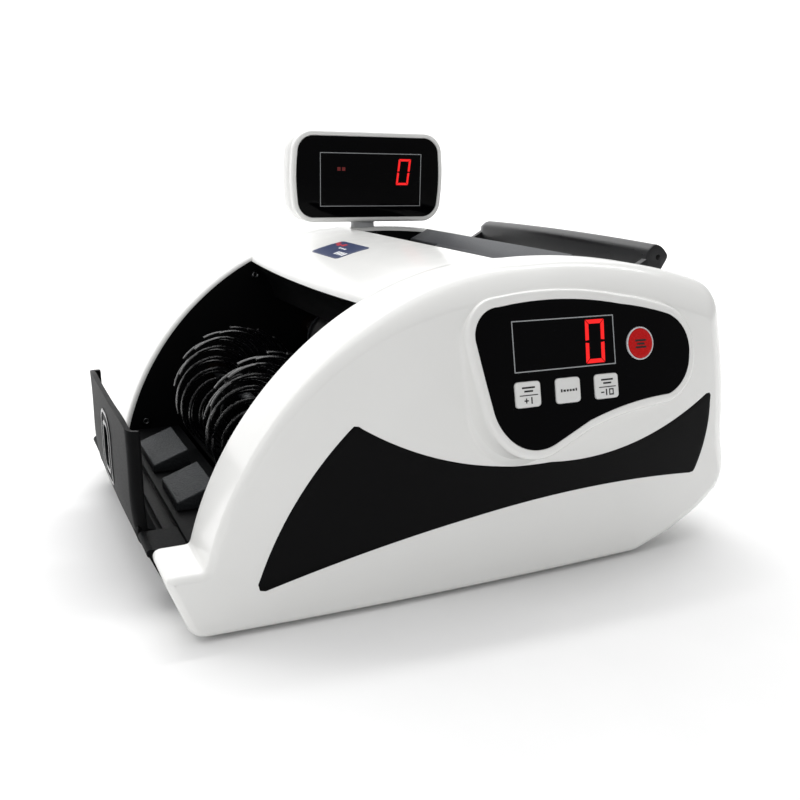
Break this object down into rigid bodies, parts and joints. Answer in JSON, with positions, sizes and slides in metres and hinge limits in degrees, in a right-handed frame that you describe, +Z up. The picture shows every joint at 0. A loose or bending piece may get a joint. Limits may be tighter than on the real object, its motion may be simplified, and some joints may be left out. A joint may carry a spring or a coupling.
{
  "type": "banknote counter and counterfeit detector",
  "caption": "Desktop banknote counting and checking machine: hopper, finger-wheel stacker bay, sloping front panel with keys, carry handle and a swivelling customer display.",
  "frame": {"origin": "centre of the footprint, on the surface the machine stands on", "axes": "+X from the note stacker towards the handle end, +Y from the key panel's side to the far side, +Z up"},
  "size_m": [0.3126, 0.2692, 0.2134],
  "materials": {
    "white_shell": "gloss",
    "black_gloss": "high gloss",
    "black_abs": "satin",
    "charcoal_abs": "fine texture",
    "grey_abs": "satin",
    "red_key": "gloss",
    "grey_key": "satin",
    "soft_rubber": "matt",
    "bright_steel": "ground",
    "zinc_steel": "satin",
    "bearing_bronze": "satin",
    "nylon": "satin",
    "circuit_board": "satin",
    "lamp_glass": "clear",
    "paper_label": "satin"
  },
  "bodies": {
    "frame": {"front_shell": "white_shell", "rear_shell": "white_shell", "top_hood": "white_shell", "end_cover": "white_shell", "side_inlays": "black_gloss", "panel_overlay": "black_gloss", "rocker_frame": "black_gloss", "front_liner": "black_abs", "rear_liner": "black_abs", "base_pan": "black_abs", "note_guides": "black_abs", "power_inlet": "black_abs", "stacker_floor": "charcoal_abs", "note_pads": "charcoal_abs", "feed_plate": "charcoal_abs", "sensor_bar": "charcoal_abs", "display_stem": "grey_abs", "rubber_feet": "soft_rubber", "drive_belt": "soft_rubber", "stacker_belt": "soft_rubber", "pickup_belt": "soft_rubber", "stay_rods": "bright_steel", "hinge_pins": "bright_steel", "case_screws": "bright_steel", "drive_motor": "zinc_steel", "transformer": "zinc_steel", "shaft_bushes": "bearing_bronze", "main_board": "circuit_board", "panel_board": "circuit_board", "uv_lamp": "lamp_glass", "hood_label": "paper_label"},
    "tray": {"catch_tray": "black_abs"},
    "handle": {"carry_handle": "black_abs"},
    "display": {"display_bezel": "white_shell", "display_back": "white_shell", "display_lens": "black_gloss", "display_board": "circuit_board"},
    "reset_key": {"reset_button": "red_key"},
    "menu_key": {"key_menu": "grey_key"},
    "preset_key": {"key_preset": "grey_key"},
    "add_key": {"key_add": "grey_key"},
    "rocker": {"power_rocker": "black_abs"},
    "drum": {"drum_shaft": "bright_steel", "feed_drum": "grey_abs", "drum_tyres": "soft_rubber", "drum_gear": "nylon", "drum_pulleys": "nylon", "encoder_disc": "zinc_steel"},
    "stacker": {"stacker_shaft": "bright_steel", "stacker_wheels": "soft_rubber", "stacker_pulley": "nylon"},
    "feed": {"feed_shaft": "bright_steel", "feed_rollers": "soft_rubber", "feed_gear": "nylon"},
    "pickup": {"pickup_shaft": "bright_steel", "pickup_rollers": "soft_rubber", "pickup_pulley": "nylon"},
    "pinch": {"pinch_roller": "bright_steel"},
    "motor": {"motor_shaft": "bright_steel", "motor_pulley": "nylon"}
  },
  "joints": [
    {"name": "tray_hinge", "type": "hinge", "parent": "frame", "child": "tray", "pos_m": [-0.14413, 0.0086, 0.025], "axis": [0, -1, 0], "range_deg": [0, 60]},
    {"name": "handle_swing", "type": "hinge", "parent": "frame", "child": "handle", "pos_m": [0.05787, 0.0086, 0.112], "axis": [0, -1, 0], "range_deg": [0, 30]},
    {"name": "display_swivel", "type": "hinge", "parent": "frame", "child": "display", "pos_m": [0.02687, 0.1056, 0.157], "axis": [0, 0, 1], "range_deg": [-90, 90]},
    {"name": "reset_press", "type": "slide", "parent": "frame", "child": "reset_key", "axis": [0, 0.974, -0.2267], "range_m": [0, 0.0012], "stiffness_N_per_m": 500, "springref_m": -0.0006},
    {"name": "menu_press", "type": "slide", "parent": "frame", "child": "menu_key", "axis": [0, 0.974, -0.2267], "range_m": [0, 0.0012], "stiffness_N_per_m": 500, "springref_m": -0.0006},
    {"name": "preset_press", "type": "slide", "parent": "frame", "child": "preset_key", "axis": [0, 0.974, -0.2267], "range_m": [0, 0.0012], "stiffness_N_per_m": 500, "springref_m": -0.0006},
    {"name": "add_press", "type": "slide", "parent": "frame", "child": "add_key", "axis": [0, 0.974, -0.2267], "range_m": [0, 0.0012], "stiffness_N_per_m": 500, "springref_m": -0.0006},
    {"name": "rocker_tilt", "type": "hinge", "parent": "frame", "child": "rocker", "pos_m": [0.14787, 0.0096, 0.0575], "axis": [0, 0, 1], "range_deg": [-6, 6]},
    {"name": "drum_spin", "type": "hinge", "parent": "frame", "child": "drum", "pos_m": [-0.01213, 0, 0.09], "axis": [0, 1, 0], "continuous": true},
    {"name": "stacker_spin", "type": "hinge", "parent": "frame", "child": "stacker", "pos_m": [-0.07613, 0, 0.066], "axis": [0, 1, 0], "continuous": true},
    {"name": "feed_spin", "type": "hinge", "parent": "frame", "child": "feed", "pos_m": [0.01787, 0, 0.108], "axis": [0, 1, 0], "continuous": true},
    {"name": "pickup_spin", "type": "hinge", "parent": "frame", "child": "pickup", "pos_m": [0.04387, 0, 0.125], "axis": [0, 1, 0], "continuous": true},
    {"name": "pinch_spin", "type": "hinge", "parent": "frame", "child": "pinch", "pos_m": [-0.02013, 0, 0.118], "axis": [0, 1, 0], "continuous": true},
    {"name": "motor_spin", "type": "hinge", "parent": "frame", "child": "motor", "pos_m": [0.05787, 0, 0.05], "axis": [0, 1, 0], "continuous": true}
  ],
  "couplings": [
    {"joint": "stacker_spin", "follows": "drum_spin", "ratio": 0.5},
    {"joint": "feed_spin", "follows": "drum_spin", "ratio": -1.5},
    {"joint": "pickup_spin", "follows": "drum_spin", "ratio": -1.5},
    {"joint": "pinch_spin", "follows": "drum_spin", "ratio": -3.4375},
    {"joint": "motor_spin", "follows": "drum_spin", "ratio": 2}
  ]
}
